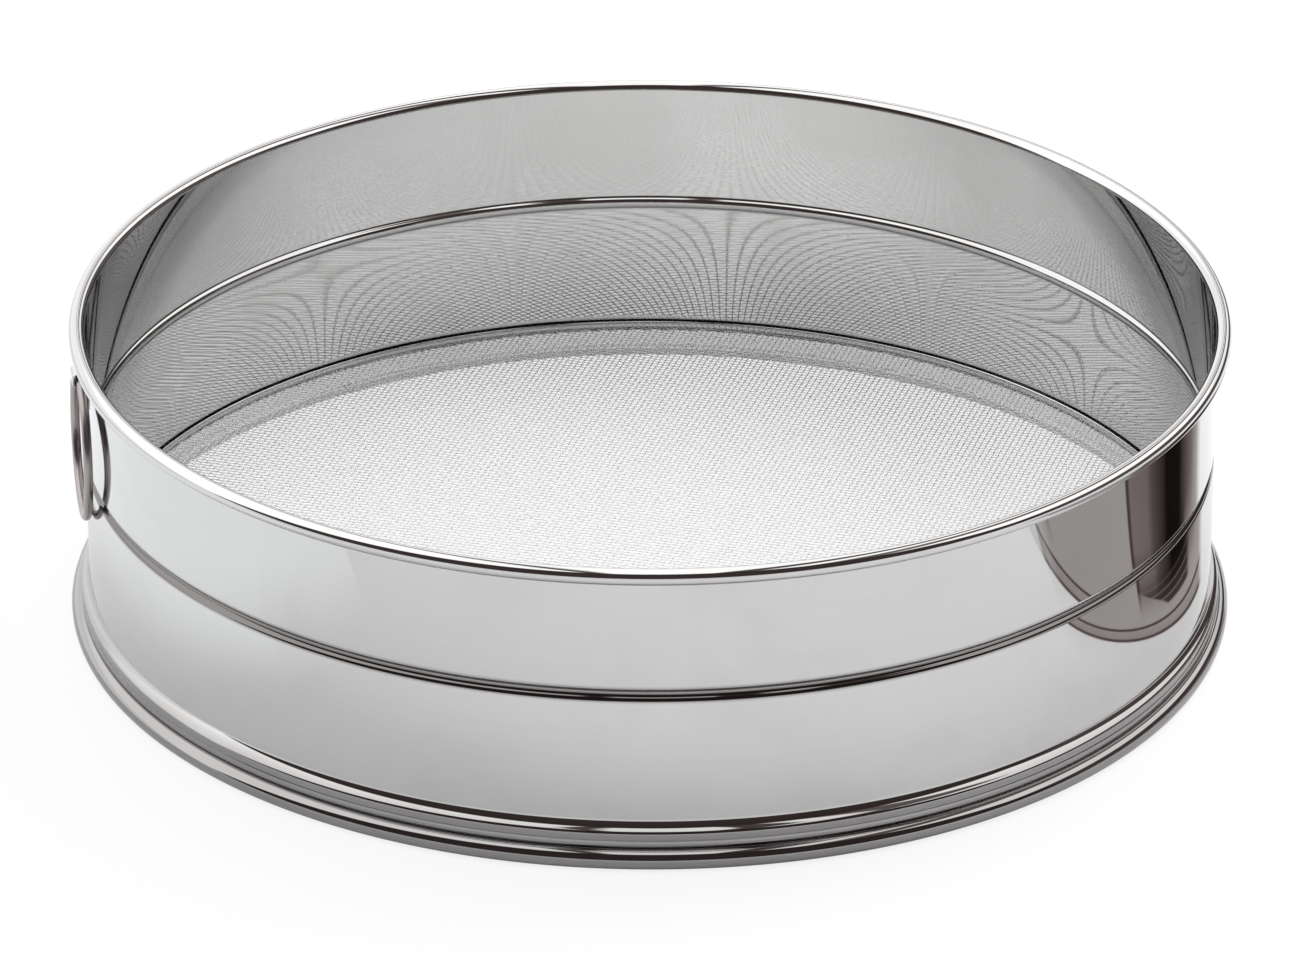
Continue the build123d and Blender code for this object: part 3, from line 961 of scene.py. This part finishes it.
def mirrored_card(name, material, studio, left, right):
    """A flat card just above the floor that only the metal sees."""
    near, far, lift = -0.180, 0.160, 0.5 * MM
    bm = bmesh.new()
    corners = ((left, near), (right, near), (right, far), (left, far))
    bm.faces.new([bm.verts.new(aligned(x, y, lift, studio.azimuth)) for x, y in corners])
    card = finished(name, bm)
    card.data.materials.append(material)
    card.visible_camera = False
    card.visible_diffuse = False
    card.visible_shadow = False
    return card


def key_lamp(studio):
    """A soft lamp behind the sieve, to the right, that the metal doesn't mirror."""
    lamp = bpy.data.objects.new("key_lamp", bpy.data.lights.new("key_lamp", "AREA"))
    lamp.data.shape = "RECTANGLE"
    lamp.data.size, lamp.data.size_y = 1.0, 0.8
    lamp.data.energy = studio.key_light
    lamp.data.color = (1.0, 0.985, 0.96)
    lamp.location = aligned(0.8, 0.7, 1.1, studio.azimuth)
    lamp.rotation_euler = (-lamp.location).to_track_quat("-Z", "Y").to_euler()
    lamp.visible_glossy = False
    return lamp


def photo_camera(studio):
    """The camera at the photograph's angle."""
    eye = bpy.data.cameras.new("camera")
    eye.sensor_width = 36.0
    eye.lens = studio.lens
    eye.clip_start, eye.clip_end = 0.1, 50.0
    camera = bpy.data.objects.new("camera", eye)
    a, e = studio.azimuth, studio.elevation
    back = Vector((math.sin(a) * math.cos(e), -math.cos(a) * math.cos(e), math.sin(e)))
    camera.location = Vector(studio.aim) + back * studio.distance
    turn = (-back).to_track_quat("-Z", "Y").to_matrix() @ Matrix.Rotation(studio.roll, 3, "Z")
    camera.rotation_euler = turn.to_euler()
    return camera


class SIEVE_OT_studio(bpy.types.Operator):
    """Set up the floor, the light and the camera"""

    bl_idname = "sieve.studio"
    bl_label = "Studio"

    def execute(self, context):
        scene, studio = context.scene, context.scene.sieve_studio
        bm = bmesh.new()
        bmesh.ops.create_grid(bm, x_segments=2, y_segments=2, size=FLOOR_REACH)
        floor = finished("floor", bm)
        floor.data.materials.append(floor_material(studio))
        dim, pale = dim_card_material(studio), pale_card_material(studio)
        cards = [mirrored_card("dim_surround", dim, studio, left=0.140, right=0.450),
                 mirrored_card("pale_surround", pale, studio, left=-0.600, right=-0.145)]

        scene.collection.objects.link(key_lamp(studio))
        scene.world = studio_world(studio)
        scene.camera = photo_camera(studio)
        scene.collection.objects.link(scene.camera)
        scene.view_settings.view_transform = "Standard"
        return {"FINISHED"}


class SIEVE_PT_panel(bpy.types.Panel):
    """The sieve's settings and pieces"""

    bl_idname = "SIEVE_PT_panel"
    bl_label = "Drum Sieve"
    bl_space_type = "VIEW_3D"
    bl_region_type = "UI"
    bl_category = "Sieve"

    def draw(self, context):
        layout = self.layout
        for settings in ("sieve_sizes", "sieve_cloth", "sieve_finish", "sieve_studio"):
            group = getattr(context.scene, settings)
            box = layout.box()
            for name in group.bl_rna.properties.keys():
                if name not in ("rna_type", "name"):
                    box.prop(group, name)
        for operator in OPERATORS:
            layout.operator(operator.bl_idname)


SETTINGS = {"sieve_sizes": SieveSizes, "sieve_cloth": SieveCloth,
            "sieve_finish": SieveFinish, "sieve_studio": SieveStudio}
OPERATORS = (SIEVE_OT_foot_ring, SIEVE_OT_wire_cloth, SIEVE_OT_retaining_hoop, SIEVE_OT_drum_wall,
             SIEVE_OT_hanger_strap, SIEVE_OT_hanging_ring, SIEVE_OT_studio)


def register():
    """Registers the classes and hangs the settings on the scene."""
    for cls in (*SETTINGS.values(), *OPERATORS, SIEVE_PT_panel):
        bpy.utils.register_class(cls)
    for name, cls in SETTINGS.items():
        setattr(bpy.types.Scene, name, bpy.props.PointerProperty(type=cls))


def unregister():
    """Takes the settings and classes away again."""
    for name in SETTINGS:
        delattr(bpy.types.Scene, name)
    for cls in reversed((*SETTINGS.values(), *OPERATORS, SIEVE_PT_panel)):
        bpy.utils.unregister_class(cls)


def main():
    register()
    bpy.ops.sieve.foot_ring()
    bpy.ops.sieve.wire_cloth()
    bpy.ops.sieve.retaining_hoop()
    bpy.ops.sieve.drum_wall()
    bpy.ops.sieve.hanger_strap()
    bpy.ops.sieve.hanging_ring()
    bpy.ops.sieve.studio()
    bpy.context.view_layer.update()


if __name__ == "__main__":
    main()
